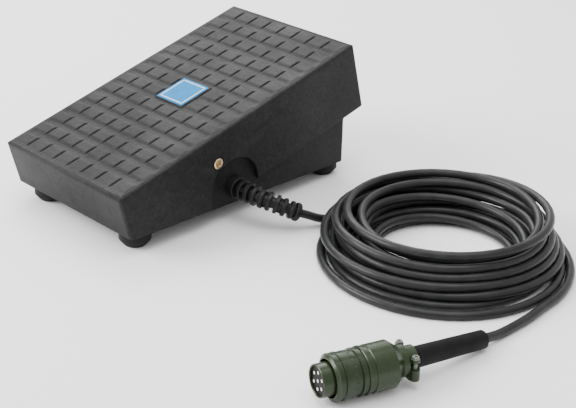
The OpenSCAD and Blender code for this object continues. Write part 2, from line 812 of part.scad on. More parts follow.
module potentiometer() color([0.25, 0.32, 0.3]) difference() {
    union() {
        at_pinion() rod_x(pot_x, pot_x + pot_l, pot_r);
        at_pinion() rod_x(bracket_x - pot_nut_t - pot_washer_t - 0.6, pot_x + 1, bushing_r);
        // solder lugs
        for (s = [-1, 0, 1]) {
            translate([pot_x + pot_l - 3, pinion_y + s * lug_gap - 1.1, pinion_z + pot_r - 3])
                cube([0.8, 2.2, 8]);
        }
    }
    at_pinion() rod_x(0, pot_x + 8, shaft_r + RUN);
}

module pot_washer() color([0.75, 0.75, 0.77]) at_pinion() difference() {
    rod_x(bracket_x - pot_washer_t, bracket_x - SEAT, bushing_r + 2.6);
    rod_x(0, bracket_x + 1, bushing_r + SEAT);
}

module pot_nut() color([0.75, 0.75, 0.77]) at_pinion() difference() {
    translate([bracket_x - pot_washer_t - pot_nut_t, 0, 0]) rotate([0, 90, 0])
        cylinder(r = bushing_r * 1.42, h = pot_nut_t - SEAT, $fn = 6);
    rod_x(0, bracket_x + 1, bushing_r + SEAT);
}

pinion_x0 = sector_x0 - pinion_over;
pinion_x1 = sector_x1 + pinion_over;

module pot_shaft() color([0.8, 0.8, 0.82]) at_pinion() rod_x(pinion_x0 - 1, pot_x + 7, shaft_r);

module pinion_outline() {
    circle(r = pinion_r - 1.25 * gear_m + EPS);
    for (k = [0:pinion_teeth - 1]) {
        polygon(tooth(pinion_teeth, mesh_a + 180 + (k + 0.5) * 360 / pinion_teeth));
    }
}

module pinion_gear() color([0.8, 0.7, 0.42]) at_pinion() difference() {
    across(pinion_x0, pinion_x1 - pinion_x0) pinion_outline();
    rod_x(pinion_x0 - 1, pinion_x1 + 1, shaft_r + SEAT);
}

// ---------------------------------------------------------------- plunger switch

module micro_switch() color([0.1, 0.1, 0.11]) difference() {
    union() {
        translate([sector_x - switch_t / 2, switch_end_y, switch_z]) cube([switch_t, switch_l, switch_h]);
        // terminals
        for (z = terminal_z) {
            translate([sector_x - 2.4, switch_end_y - 6, switch_z + z]) cube([4.8, 6 + EPS, terminal_t]);
        }
    }
    translate([sector_x, pivot_y, switch_top - plunger_deep])
        cylinder(r = plunger_r + RUN, h = plunger_deep + 1);
    for (s = [-1, 1]) {
        translate([0, pivot_y + switch_shift + s * switch_hole_y, switch_z + switch_hole_z])
            rod_x(sector_x - switch_t, sector_x + switch_t, m3_r * 0.8 + SEAT);
    }
}

module switch_screws() color([0.6, 0.6, 0.62]) for (s = [-1, 1]) {
    translate([sector_x - switch_t / 2 - SEAT, pivot_y + switch_shift + s * switch_hole_y,
        switch_z + switch_hole_z])
        rotate([0, 90, 0]) pan_screw(m3_r * 0.8, switch_t + switch_rib_t, 2.2, 1.6);
}

module switch_plunger() color([0.75, 0.2, 0.15])
    translate([sector_x, pivot_y, switch_top + plunger_up - plunger_r]) {
    rotate_extrude() intersection() {
        union() {
            circle(r = plunger_r);
            translate([0, stroke + TOUCH + plunger_r - plunger_up - plunger_deep])
                square([plunger_r, plunger_deep + plunger_up - stroke - TOUCH - plunger_r]);
        }
        translate([0, -2 * plunger_deep]) square([plunger_r, 3 * plunger_deep]);
    }
}

// ---------------------------------------------------------------- cord, inside and out

// children placed on the strain relief's bend after a degrees, with +X along the cord
module on_bend(a) {
    translate([relief_x0, relief_y, relief_h]) rotate([relief_dip, 0, 0])
        translate([relief_bend_r * sin(a), relief_bend_r * (1 - cos(a)), 0]) rotate([0, 0, a]) children();
}

// where the bend ends, and the cord's direction there
function dipped(v) = [v[0], v[1] * cos(relief_dip) - v[2] * sin(relief_dip),
    v[1] * sin(relief_dip) + v[2] * cos(relief_dip)];
relief_end = [relief_x0, relief_y, relief_h]
    + dipped([relief_bend_r * sin(relief_bend), relief_bend_r * (1 - cos(relief_bend)), 0]);

rib_l = 3.2;
core_r = cord_r + 1.9;
tip_l = 4.5;
bend_step = (relief_bend - tip_l / relief_bend_r * 180 / PI) / relief_ribs;

module strain_relief() color([0.08, 0.08, 0.08]) {
    translate([0, relief_y, relief_h]) {
        // snap flange, neck and collar
        rod_x(base_side_x - base_t - 3, base_side_x - base_t - SEAT, relief_r);
        rod_x(base_side_x - base_t - 1, base_side_x + 1, neck_r);
        rod_x(base_side_x + SEAT, relief_x0, relief_r);
    }
    // core along the bend
    translate([relief_x0, relief_y, relief_h]) rotate([relief_dip, 0, 0])
        translate([0, relief_bend_r, 0]) rotate([0, 0, -90]) rotate_extrude(angle = relief_bend)
            translate([relief_bend_r, 0]) circle(r = core_r, $fn = 32);
    // ribs, joined by a pair of webs that turns by 90 degrees from gap to gap
    for (i = [0:relief_ribs - 1]) {
        r = relief_r + (relief_tip_r - relief_r) * (i + 1) / relief_ribs;
        gap_l = bend_step * PI / 180 * relief_bend_r - rib_l;
        on_bend((i + 0.5) * bend_step + bend_step * 0.2) rod_x(-rib_l / 2, rib_l / 2, r);
        on_bend(i * bend_step + bend_step * 0.2) rotate([i % 2 * 90, 0, 0]) intersection() {
            rod_x(-gap_l / 2 - 0.8, gap_l / 2 + 0.8, r - 0.1);
            translate([-gap_l, -core_r * 0.6, -r]) cube([2 * gap_l, core_r * 1.2, 2 * r]);
        }
    }
    on_bend(relief_bend) rod_x(-tip_l, 0, relief_tip_r + 0.3);
}

inner_x0 = clamp_x - 8;

module inner_cord() color([0.09, 0.09, 0.1]) translate([0, relief_y, relief_h]) {
    rod_x(inner_x0, base_side_x - base_t - 3 - SEAT, cord_r);
}

module cord_clamp() color([0.8, 0.8, 0.78]) difference() {
    translate([clamp_x - 4, relief_y - clamp_half - 4, relief_h + cord_r + SEAT])
        cube([8, 2 * clamp_half + 8, clamp_t]);
    clamp_screw_places() cylinder(r = m3_r + 0.2, h = 20, center = true);
}

module clamp_screw_places() {
    for (s = [-1, 1]) {
        translate([clamp_x, relief_y + s * clamp_half, relief_h + cord_r + clamp_t + 2 * SEAT]) children();
    }
}

module clamp_screws() color([0.6, 0.6, 0.62]) clamp_screw_places() mirror([0, 0, 1])
    pan_screw(m3_r, clamp_screw_l, 2.8, 1.8);

wire_r_in = 0.8;          // radius of a wire
core_ring_r = 1.9;        // circle on which the five wires leave the cord

// where wire k of the five leaves the cord, and a point straight in front of it
function wire_start(k) = [inner_x0 - SEAT, relief_y + core_ring_r * cos(18 + 72 * k),
    relief_h + core_ring_r * sin(18 + 72 * k)];
function wire_out(k) = wire_start(k) - [2.5, 0, 0];

// Three wires go over the clamp to the potentiometer's lugs, and two pass round the rib of the switch
module wiring() color([0.7, 0.15, 0.12]) {
    for (k = [0:2]) {
        s = 1 - k;
        tube_along(smooth([
            wire_start(k), wire_out(k),
            [inner_x0 - 5 - s * 2, relief_y + 4 + s * 1.6, relief_h + 8],
            [pot_x + pot_l + 4 - s * 2, pinion_y - 12 + s * 2.5, pinion_z + pot_r + 3],
            [pot_x + pot_l + 1.5, pinion_y + s * lug_gap - 2, pinion_z + pot_r + 6],
            [pot_x + pot_l - 2.2 + wire_r_in, pinion_y + s * lug_gap, pinion_z + pot_r + 3.5],
        ], 3), wire_r_in, 6);
    }
    for (k = [3, 4]) {
        z = terminal_z[k - 3];
        tube_along(smooth([
            wire_start(k), wire_out(k),
            [rib_x + switch_rib_t + 5, relief_y - 8, relief_h - 6 + z * 0.35],
            [rib_x + 10, switch_end_y - 2, switch_z + z + 2],
            [rib_x, switch_end_y - 7, switch_z + z + 2],
            [sector_x + 0.5, switch_end_y - 4, switch_z + z + terminal_t + wire_r_in],
        ], 3), wire_r_in, 6);
    }
}

module cord_lead() color([0.09, 0.09, 0.1])
    tube_along(smooth(concat([relief_end], lead_route), 2), cord_r, 10);

module cord_coil() color([0.09, 0.09, 0.1]) translate([coil_at[0], coil_at[1], 0])
    rotate_extrude($fn = 96) translate([coil_in_r, 0])
    round_rect(coil_out_r - coil_in_r, coil_h, 8);

module cord_tail() color([0.09, 0.09, 0.1])
    tube_along(smooth(concat(tail_route, [sleeve_end]), 2), cord_r, 10);

// ---------------------------------------------------------------- plug

// children with +X along the plug, from the barrel's mouth towards the cord
module on_plug() {
    translate([plug_at[0], plug_at[1], backshell_r]) rotate([0, 0, plug_yaw]) children();
}

// a solid of revolution about the plug's axis; points are [distance along, radius]
module turned(points) {
    on_plug() rotate([0, 90, 0]) rotate_extrude($fn = 64) polygon([for (p = points) [p[1], p[0]]]);
}

knee_t = clamp_t1 + 1;
knee = [plug_at[0] + knee_t * cos(plug_yaw), plug_at[1] + knee_t * sin(plug_yaw), backshell_r];
sleeve_dir = [cos(sleeve_pitch) * cos(plug_yaw + sleeve_yaw), cos(sleeve_pitch) * sin(plug_yaw
    + sleeve_yaw), -sin(sleeve_pitch)];
sleeve_end = knee + sleeve_l * sleeve_dir;
sleeve_t0 = backshell_t1 - 1;

module cord_sleeve() color([0.1, 0.1, 0.11]) {
    on_plug() rod_x(sleeve_t0, knee_t, sleeve_r);
    intersection() {
        translate(knee) sphere(r = sleeve_r + 0.25);
        on_plug() translate([clamp_t1 + SEAT, -2 * sleeve_r, -2 * sleeve_r]) cube(4 * sleeve_r);
    }
    translate(knee) {
        rotate([0, 0, plug_yaw + sleeve_yaw]) rotate([0, sleeve_pitch, 0]) {
            rotate([0, 90, 0]) cylinder(r1 = sleeve_r, r2 = sleeve_tip_r, h = sleeve_l - 1.5);
            translate([sleeve_l - 1.5, 0, 0]) rotate([0, 90, 0])
                cylinder(r1 = sleeve_tip_r, r2 = sleeve_tip_r - 1.5, h = 1.5);
        }
    }
}

shell_flange_t = nut_t0 + 7;
shell_in_r = barrel_r - barrel_t;
shell_back_r = barrel_r + 1.2;

module plug_shell() color([0.36, 0.4, 0.32]) turned([
    [0.6, shell_in_r], [0, shell_in_r + 0.5], [0, barrel_r - 0.4], [0.4, barrel_r],
    [nut_t0 - 0.2, barrel_r], [nut_t0 + 0.1, barrel_r - 0.3], [shell_flange_t, barrel_r - 0.3],
        [shell_flange_t, barrel_r + 2.2], [shell_flange_t + 2, barrel_r + 2.2],
    [shell_flange_t + 2, shell_back_r], [backshell_t0 + 10, shell_back_r], [backshell_t0 + 10, shell_in_r],
]);

insert_t0 = 1.6;
insert_t1 = backshell_t0 + 8;

module contact_places() {
    on_plug() {
        children();
        for (k = [0:5]) {
            rotate([60 * k, 0, 0]) translate([0, 0, contact_ring_r]) children();
        }
    }
}

module plug_insert() color([0.05, 0.05, 0.05]) difference() {
    on_plug() rod_x(insert_t0, insert_t1, shell_in_r - SEAT);
    contact_places() rod_x(insert_t0 - 1, insert_t1 + 1, contact_r + SEAT);
}

module plug_contacts() color([0.9, 0.88, 0.8]) contact_places() {
    rod_x(insert_t0 - 0.6, insert_t1 + 3, contact_r);
}

nut_in_r = barrel_r + 1.7;
nut_groove = 0.8;

module coupling_nut() color([0.3, 0.34, 0.26]) difference() {
    turned([
        [nut_t0, nut_in_r], [nut_t0, nut_r - 2.4], [nut_t0 + 1.4, nut_r - 0.8], [nut_t0 + 1.8, nut_r],
        [nut_t0 + 2.8, nut_r], [nut_t0 + 3.2, nut_r - nut_groove], [nut_t0 + 5.6, nut_r - nut_groove],
        [nut_t0 + 6, nut_r], [nut_t0 + 7.2, nut_r], [nut_t0 + 7.6, nut_r - 0.5],
        [nut_t1 - 7.4, nut_r - 0.5], [nut_t1 - 7, nut_r - 1.2], [nut_t1 - 4.4, nut_r - 1.2],
            [nut_t1 - 4, nut_r],
        [nut_t1 - 2.6, nut_r], [nut_t1 - 2.2, nut_r - nut_groove], [nut_t1, nut_r - nut_groove],
        [nut_t1, shell_back_r + TOUCH], [shell_flange_t + 2 + TOUCH, shell_back_r + TOUCH],
        [shell_flange_t + 2 + TOUCH, barrel_r + 2.2 + TOUCH], [shell_flange_t - 1, barrel_r + 2.2 + TOUCH],
        [shell_flange_t - 1, nut_in_r],
    ]);
    // grip flutes around the band
    on_plug() for (k = [0:17]) {
        rotate([20 * k, 0, 0]) translate([0, 0, nut_r + 0.5]) rod_x(nut_t1 - 9.6, nut_t1 - 7.2, 1.3);
    }
}

cone_l = 6;

module backshell() color([0.36, 0.4, 0.31]) turned([
    [backshell_t0, shell_back_r + SEAT], [backshell_t0, backshell_r - 0.6], [backshell_t0 + 0.6, backshell_r],
    [backshell_t0 + 2, backshell_r], [backshell_t0 + 2.6, backshell_r - 1],
        [backshell_t0 + 5, backshell_r - 1],
    [backshell_t0 + 5.6, backshell_r - 0.2], [backshell_t1 - cone_l, backshell_r - 0.2],
    [backshell_t1, clamp_neck_r], [backshell_t1, sleeve_r + SEAT], [backshell_t1 - 2, sleeve_r + SEAT],
    [backshell_t1 - cone_l, backshell_r - 2.4], [backshell_t0 + 11, backshell_r - 2.4],
        [backshell_t0 + 11, shell_back_r + SEAT],
]);

ear_y = sleeve_r + 3.2;
ear_t0 = backshell_t1 + 4;
ear_half = 3.4;

module ear_places() {
    on_plug() for (s = [-1, 1]) {
        translate([(ear_t0 + clamp_t1) / 2, s * ear_y, 0]) children();
    }
}

// lower saddle of the cable clamp, on a ring that screws to the backshell
module cable_clamp() color([0.35, 0.39, 0.3]) difference() {
    union() {
        on_plug() {
            rod_x(backshell_t1 + SEAT, ear_t0 + 0.5, clamp_neck_r - 0.4);
            intersection() {
                rod_x(ear_t0, clamp_t1, sleeve_r + 3);
                translate([0, -2 * ear_y, -2 * ear_y]) cube([2 * clamp_t1, 4 * ear_y, 2 * ear_y]);
            }
        }
        ear_places() translate([0, 0, -9]) cylinder(r = ear_half, h = 8);
        on_plug() translate([ear_t0, -ear_y, -9]) cube([clamp_t1 - ear_t0, 2 * ear_y, 6]);
    }
    on_plug() rod_x(backshell_t1 - 1, clamp_t1 + 1, sleeve_r + SEAT);
    ear_places() translate([0, 0, -12]) cylinder(r = m3_r + SEAT, h = 20);
}

// upper saddle: a strap over the sleeve with a flat ear on each side
module clamp_strap() color([0.38, 0.42, 0.33]) difference() {
    union() {
        on_plug() intersection() {
            rod_x(ear_t0 + 1.2, clamp_t1, sleeve_r + 1.8);
            translate([0, -2 * ear_y, 2]) cube([2 * clamp_t1, 4 * ear_y, 2 * ear_y]);
        }
        ear_places() translate([0, 0, 4]) cylinder(r = ear_half - 0.4, h = 2.2);
    }
    on_plug() rod_x(backshell_t1 - 1, clamp_t1 + 1, sleeve_r + SEAT);
    ear_places() cylinder(r = m3_r + SEAT, h = 20);
}

module strap_screws() color([0.72, 0.72, 0.74]) ear_places() {
    translate([0, 0, 6.2 + SEAT]) mirror([0, 0, 1]) pan_screw(m3_r, strap_screw_l, 2.6, 1.8);
}

// ---------------------------------------------------------------- what is drawn

pedal_cover();
emblem_plate();
pivot_bushes();
sector_gear();
sector_screws();
base_tub();
rubber_feet();
foot_washers();
foot_screws();
pivot_screws();
pivot_nuts();
heel_bumpers();
toe_bumpers();
return_spring_left();
return_spring_right();
pot_bracket();
bracket_screws();
potentiometer();
pot_washer();
pot_nut();
pot_shaft();
pinion_gear();
micro_switch();
switch_screws();
switch_plunger();
strain_relief();
inner_cord();
cord_clamp();
clamp_screws();
wiring();
cord_lead();
cord_coil();
cord_tail();
cord_sleeve();
plug_shell();
plug_insert();
plug_contacts();
coupling_nut();
backshell();
cable_clamp();
clamp_strap();
strap_screws();
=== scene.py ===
"""The looks of an industrial foot switch: a rocking pedal on a base box, a coiled cord and a circular plug.

Metres, in the frame of the CAD model: +Z up, the toe end points to +Y, and the cord leaves to +X. Camera
and materials come first, then the cord, then the pieces that stand for plainer CAD solids, and the light.
"""

import math

import bmesh
import bpy
import numpy as np
from mathutils import Matrix, Quaternion, Vector


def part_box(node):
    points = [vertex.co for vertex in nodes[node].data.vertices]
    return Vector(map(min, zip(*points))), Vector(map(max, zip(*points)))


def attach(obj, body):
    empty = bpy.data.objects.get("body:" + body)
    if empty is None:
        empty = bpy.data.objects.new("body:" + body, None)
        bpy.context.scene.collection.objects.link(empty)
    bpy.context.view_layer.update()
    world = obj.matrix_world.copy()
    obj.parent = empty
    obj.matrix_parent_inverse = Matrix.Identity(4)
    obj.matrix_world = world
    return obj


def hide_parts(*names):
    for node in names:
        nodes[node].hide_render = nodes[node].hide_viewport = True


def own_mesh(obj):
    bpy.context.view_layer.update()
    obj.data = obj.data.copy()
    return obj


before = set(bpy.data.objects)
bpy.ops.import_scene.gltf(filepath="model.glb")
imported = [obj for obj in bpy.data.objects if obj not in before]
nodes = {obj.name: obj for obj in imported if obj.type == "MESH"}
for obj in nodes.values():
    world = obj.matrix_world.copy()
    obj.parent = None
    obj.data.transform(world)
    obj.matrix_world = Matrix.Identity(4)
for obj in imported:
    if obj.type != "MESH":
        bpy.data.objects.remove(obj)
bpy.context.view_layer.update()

MM = 0.001
scene = bpy.context.scene


def centre(node):
    """The middle of a CAD node's box."""
    low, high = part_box(node)
    return (low + high) / 2


# ---------------------------------------------------------------- camera


def make_camera(azimuth, elevation, roll, distance, target, lens, shift):
    """A camera at a distance from its target, with its angles in degrees and its lens in millimetres."""
    a, e = math.radians(azimuth), math.radians(elevation)
    back = Vector((math.sin(a) * math.cos(e), -math.cos(a) * math.cos(e), math.sin(e)))
    data = bpy.data.cameras.new("camera")
    data.lens = lens
    data.sensor_width = 36
    data.shift_y = shift
    data.clip_start = 0.05
    data.clip_end = 20
    camera = bpy.data.objects.new("camera", data)
    scene.collection.objects.link(camera)
    camera.location = Vector(target) + back * distance
    camera.rotation_mode = "QUATERNION"
    turn = Quaternion((0, 0, 1), math.radians(roll))
    camera.rotation_quaternion = (-back).to_track_quat("-Z", "Y") @ turn
    scene.camera = camera


make_camera(
    azimuth=44.72,
    elevation=25.18,
    roll=1.58,
    distance=1.110,
    target=(0.0703, 0.0475, -0.0076),
    lens=81.8,
    shift=-0.0035,
)


# ---------------------------------------------------------------- materials

# sockets of a Mix node that blends colours
MIX_SHARE = 0
MIX_FROM = 6
MIX_TO = 7
MIX_RESULT = 2


def shade(color, share, lift=0.0):
    """A colour made lighter or darker by a share, then lifted evenly."""
    return tuple(c * share + lift for c in color)


class Surface:
    """A procedural material under construction: one Principled shader and the patterns that feed it."""

    def __init__(self, name, color, roughness, metallic=0.0, specular=0.5):
        self.material = bpy.data.materials.new(name)
        self.material.use_nodes = True
        self.tree = self.material.node_tree
        self.shader = self.tree.nodes["Principled BSDF"]
        self.shader.inputs["Base Color"].default_value = (*color, 1)
        self.shader.inputs["Roughness"].default_value = roughness
        self.shader.inputs["Metallic"].default_value = metallic
        self.shader.inputs["Specular IOR Level"].default_value = specular
        self.color = color
        self.place = self.node("ShaderNodeTexCoord").outputs["Object"]
        self.normal = None

    def node(self, kind, **settings):
        made = self.tree.nodes.new(kind)
        for key, value in settings.items():
            setattr(made, key, value)
        return made

    def link(self, output, socket):
        self.tree.links.new(output, socket)

    def noise(self, scale, detail=3, rough=0.5):
        """A cloudy pattern with so many features to the metre."""
        made = self.node("ShaderNodeTexNoise")
        made.inputs["Scale"].default_value = scale
        made.inputs["Detail"].default_value = detail
        made.inputs["Roughness"].default_value = rough
        self.link(self.place, made.inputs["Vector"])
        return made.outputs["Fac"]

    def cells(self, scale):
        """A pattern of round cells with so many to the metre."""
        made = self.node("ShaderNodeTexVoronoi")
        made.inputs["Scale"].default_value = scale
        self.link(self.place, made.inputs["Vector"])
        return made.outputs["Distance"]

    def spread(self, value, low, high, out_low=0.0, out_high=1.0):
        """Stretch one range of a pattern over another."""
        made = self.node("ShaderNodeMapRange")
        made.inputs["From Min"].default_value = low
        made.inputs["From Max"].default_value = high
        made.inputs["To Min"].default_value = out_low
        made.inputs["To Max"].default_value = out_high
        self.link(value, made.inputs["Value"])
        return made.outputs["Result"]

    def mottle(self, value, other, low=0.35, high=0.65):
        """Blend the colour so far towards another where a pattern is high."""
        mix = self.node("ShaderNodeMix", data_type="RGBA")
        socket = self.shader.inputs["Base Color"]
        if socket.is_linked:
            self.link(socket.links[0].from_socket, mix.inputs[MIX_FROM])
        else:
            mix.inputs[MIX_FROM].default_value = (*self.color, 1)
        mix.inputs[MIX_TO].default_value = (*other, 1)
        self.link(self.spread(value, low, high), mix.inputs[MIX_SHARE])
        self.link(mix.outputs[MIX_RESULT], socket)

    def patchy(self, value, smoothest, roughest):
        """Let the roughness follow a pattern between two limits."""
        self.link(self.spread(value, 0.3, 0.7, smoothest, roughest), self.shader.inputs["Roughness"])

    def soften(self, radius):
        """Shade the edges as if they were rounded."""
        made = self.node("ShaderNodeBevel", samples=6)
        made.inputs["Radius"].default_value = radius
        self.normal = made.outputs["Normal"]
        self.link(self.normal, self.shader.inputs["Normal"])

    def bump(self, value, height):
        """Raise the surface where a pattern is high, on top of the bumps so far."""
        made = self.node("ShaderNodeBump")
        made.inputs["Distance"].default_value = height
        made.inputs["Strength"].default_value = 1
        self.link(value, made.inputs["Height"])
        if self.normal:
            self.link(self.normal, made.inputs["Normal"])
        self.normal = made.outputs["Normal"]
        self.link(self.normal, self.shader.inputs["Normal"])


def painted(name, color, grain_height, edge=0.0):
    """Satin black enamel with a fine pebbled grain and faint handling marks."""
    surface = Surface(name, color, roughness=0.48, specular=0.13)
    if edge:
        surface.soften(edge)
    clouds = surface.noise(30, detail=4)
    surface.mottle(clouds, shade(color, 1.3, 0.001))
    blotches = surface.noise(230, rough=0.65)
    surface.mottle(blotches, shade(color, 0.62), low=0.42, high=0.66)
    pits = surface.noise(700, rough=0.7)
    surface.mottle(pits, shade(color, 0.5), low=0.48, high=0.66)
    specks = surface.noise(900, detail=2, rough=0.7)
    surface.mottle(specks, shade(color, 1.6, 0.002), low=0.55, high=0.75)
    surface.patchy(surface.noise(24, detail=4), 0.42, 0.56)
    surface.bump(surface.cells(1100), grain_height)
    surface.bump(surface.noise(260), grain_height * 1.5)
    return surface.material


def rubber(name, color, smoothest, roughest, grain=900, specular=0.2):
    """Dark rubber or soft vinyl with a fine grain, shinier in places."""
    surface = Surface(name, color, (smoothest + roughest) / 2, specular=specular)
    surface.mottle(surface.noise(90), shade(color, 1.4, 0.001))
    surface.patchy(surface.noise(60, detail=4), smoothest, roughest)
    surface.bump(surface.noise(grain), 0.08 * MM)
    return surface.material


def metal(name, color, roughness, metallic=1.0, specular=0.5):
    """Machined or plated metal with fine tool marks."""
    surface = Surface(name, color, roughness, metallic, specular)
    marks = surface.noise(500)
    surface.mottle(marks, shade(color, 0.8), low=0.4, high=0.8)
    surface.patchy(surface.noise(120), roughness * 0.8, roughness * 1.3)
    surface.bump(marks, 0.02 * MM)
    return surface.material


def plastic(name, color, roughness, specular=0.4):
    """Hard moulded plastic with a faint orange peel."""
    surface = Surface(name, color, roughness, specular=specular)
    surface.mottle(surface.noise(150), shade(color, 1.15, 0.002))
    surface.patchy(surface.noise(300), roughness * 0.85, roughness * 1.15)
    surface.bump(surface.noise(1200, detail=2), 0.03 * MM)
    return surface.material


def paper(name, color, roughness):
    """The matt ground that the switch stands on."""
    surface = Surface(name, color, roughness, specular=0.2)
    surface.bump(surface.noise(40, detail=2), 0.05 * MM)
    return surface.material


COVER = painted("cover_enamel", (0.0105, 0.0105, 0.0108), 0.15 * MM)
# The cover's walls and plain rim take the tread's enamel made a quarter lighter. This is painted light that
# lifts the sides and heel, not a paint of their own.
COVER_WALLS_PAINTED_LIGHT = painted("cover_wall_enamel_painted_light", (0.0132, 0.0132, 0.0136), 0.09 * MM, edge=2.4 * MM)
BASE = painted("base_enamel", (0.0102, 0.0102, 0.0105), 0.07 * MM)
FOOT = rubber("foot_rubber", (0.008, 0.008, 0.008), 0.6, 0.8)
RELIEF = rubber("relief_rubber", (0.006, 0.006, 0.006), 0.35, 0.5)
JACKET = rubber("cord_jacket", (0.0115, 0.0115, 0.012), 0.28, 0.42, grain=700)
SLEEVE = rubber("sleeve_rubber", (0.003, 0.003, 0.0032), 0.45, 0.6, specular=0.1)
BRASS = metal("brass", (0.7, 0.55, 0.34), 0.3)
ZINC = metal("zinc", (0.3, 0.3, 0.31), 0.36)
DULL = metal("dull_plating", (0.14, 0.15, 0.13), 0.45, metallic=0.6)
STEEL = metal("spring_steel", (0.5, 0.5, 0.52), 0.3)
TIN = metal("contact_plating", (0.85, 0.82, 0.74), 0.22)
OLIVE = metal("olive_chromate", (0.0165, 0.0275, 0.009), 0.27, metallic=0.2, specular=0.35)
OLIVE_DARK = metal("olive_chromate_dark", (0.0135, 0.0235, 0.0075), 0.29, metallic=0.2, specular=0.35)
INSERT = plastic("insert", (0.003, 0.003, 0.0035), 0.5, specular=0.12)
BLACK = plastic("black_plastic", (0.02, 0.02, 0.021), 0.45)
NYLON = plastic("nylon", (0.78, 0.76, 0.7), 0.45)
GREEN = plastic("pot_body", (0.05, 0.1, 0.07), 0.5)
RED = plastic("plunger_red", (0.5, 0.04, 0.03), 0.4)
WIRE = plastic("wire_jacket", (0.45, 0.05, 0.04), 0.4)
EMBLEM = plastic("emblem_blue", (0.007, 0.145, 0.335), 0.6, specular=0.08)
EMBLEM_LINE = plastic("emblem_line", (0.45, 0.5, 0.52), 0.4)

# The finish of the CAD nodes, also of those that a piece further down replaces. The free cord has its own.
FINISH = {
    COVER: ["pedal_cover"],
    BASE: ["base_tub"],
    FOOT: ["rubber_feet", "heel_bumpers", "toe_bumpers"],
    RELIEF: ["strain_relief"],
    JACKET: ["inner_cord"],
    SLEEVE: ["cord_sleeve"],
    BRASS: ["pivot_screws", "pivot_bushes", "pivot_nuts", "pinion_gear"],
    ZINC: [
        "foot_screws", "foot_washers", "sector_screws", "pot_bracket", "bracket_screws", "pot_washer",
        "pot_nut", "pot_shaft", "switch_screws", "cord_clamp", "clamp_screws",
    ],
    DULL: ["strap_screws"],
    STEEL: ["return_spring_left", "return_spring_right"],
    TIN: ["plug_contacts"],
    OLIVE: ["plug_shell", "backshell", "clamp_strap", "cable_clamp"],
    OLIVE_DARK: ["coupling_nut"],
    INSERT: ["plug_insert"],
    BLACK: ["micro_switch"],
    NYLON: ["sector_gear"],
    GREEN: ["potentiometer"],
    RED: ["switch_plunger"],
    WIRE: ["wiring"],
    EMBLEM: ["emblem_plate"],
}
for material, names in FINISH.items():
    for name in names:
        slots = nodes[name].data.materials
        slots.clear()
        slots.append(material)


# ---------------------------------------------------------------- cord

# The cord's thickness, its two free stretches and the coil's middle are those of the CAD model.
CORD_D = 6.8 * MM
RELIEF_END = Vector((0.12393, 0.00561, 0.01511))
LEAD = [(0.128, 0.0135, 0.0116), (0.131, 0.0205, 0.0082), (0.1334, 0.028, 0.0058), (0.1348, 0.033, 0.005)]
COIL = Vector((0.2336, 0.055, 0))
TAIL = [
    (0.3344, 0.038, 0.0035), (0.3356, 0.026, 0.0034), (0.3359, 0.014, 0.0034),
    (0.3358, 0.002, 0.0034), (0.3355, -0.010, 0.0038), (0.3351, -0.019, 0.005),
]
SLEEVE_END = Vector((0.33467, -0.02862, 0.0069))
LINK_POINTS = 4                    # points from each of a free stretch's own points to the next

# The coil is a heap of turns, in millimetres: (turn, radius, height, share of the outer strands' spread).
HEAP = [
    # up the outside of the heap, over its top and in
    (0.0, 101, 4.6, 1), (0.02, 100.6, 6.6, 1), (0.05, 99.6, 12, 1), (0.1, 97.6, 22.5, 1),
    (0.153, 95, 31.5, 1), (0.22, 91.5, 37.8, 1), (0.28, 88, 40, 1), (0.403, 79.5, 39.8, 1),
    (0.653, 55, 35.5, 1),
    # the top layer, out and in
    (0.78, 63, 35.5, 1), (0.9, 75, 35, 1), (1.0, 86, 33.5, 1), (1.06, 89.5, 33.5, 0.5), (1.153, 86, 35.5, 0),
    (1.28, 78, 35.5, 0), (1.403, 71, 32, 0), (1.65, 62, 29, 0),
    # the fifth layer, out
    (1.9, 61.5, 29, 0), (2.3, 75, 28.8, 0.4), (2.65, 77.3, 28.8, 0.6), (3.3, 84, 25, 0.8),
    # the fourth layer, in
    (3.65, 80.8, 22.6, 0.8), (4.65, 64.9, 22.6, 0), (5.3, 61, 18.5, 0),
    # the third layer, out
    (5.65, 60.8, 16.2, 0), (6.65, 73, 16.2, 0.5), (7.3, 87, 18.6, 0.9), (7.65, 84.5, 16.2, 1),
    (8.3, 92, 12, 1),
    # the second layer, in
    (8.42, 93, 11, 1), (8.65, 85.6, 9.8, 1), (9.65, 76.6, 9.8, 0.67), (10.65, 66.6, 9.8, 0.33),
    (11.65, 56.6, 9.8, 0), (12.3, 54, 5.5, 0),
    # the layer on the floor, out
    (12.65, 53.5, 3.4, 0), (13.65, 62.5, 3.4, 0.1), (14.65, 72, 3.4, 0.15), (15.65, 81.5, 3.4, 0.2),
    (16.0, 85, 3.4, 1), (16.15, 88, 3.4, 1), (16.4, 84, 3.4, 1),
    # the outermost turn, from which the cord leaves
    (16.65, 98, 3.4, 1), (16.8, 97, 3.4, 1), (16.93, 95.3, 3.4, 1), (17.0, 94.3, 3.4, 1),
    (17.08, 95, 3.4, 1), (17.2, 97.5, 3.4, 1), (17.38, 90, 3.4, 1), (17.46, 94.5, 3.4, 1),
    (17.54, 100.4, 3.4, 1),
]
HEAP_RISE = 30                     # from the layer on the floor to the top one
RING = (49.5, 101.4)               # smallest and largest radius of a strand
COIL_START = 190                   # direction in which the cord enters the coil, in degrees
TURN_POINTS = 48                   # points to a turn

# The layers between two of the turns lean to one side, the more the higher they lie, and their outer
# strands spread and stretch to an oval. The radii wave a little as well. All of it is in millimetres.
LEANING_FROM = 1.0
LEANING_TO = 16.3
LEAN_SIDE = math.radians(140)
LEAN_FOOT = 2.5
LEAN_TOP = 10.0
LEAN_LIFT = 3.5
SPREAD_SIDE = math.radians(172)
SPREAD = 8.0
OVAL = 3.0
WAVE = 0.45
WAVES_PER_TURN = (0.37, 0.83, 1.61)
WAVE_SEED = 11

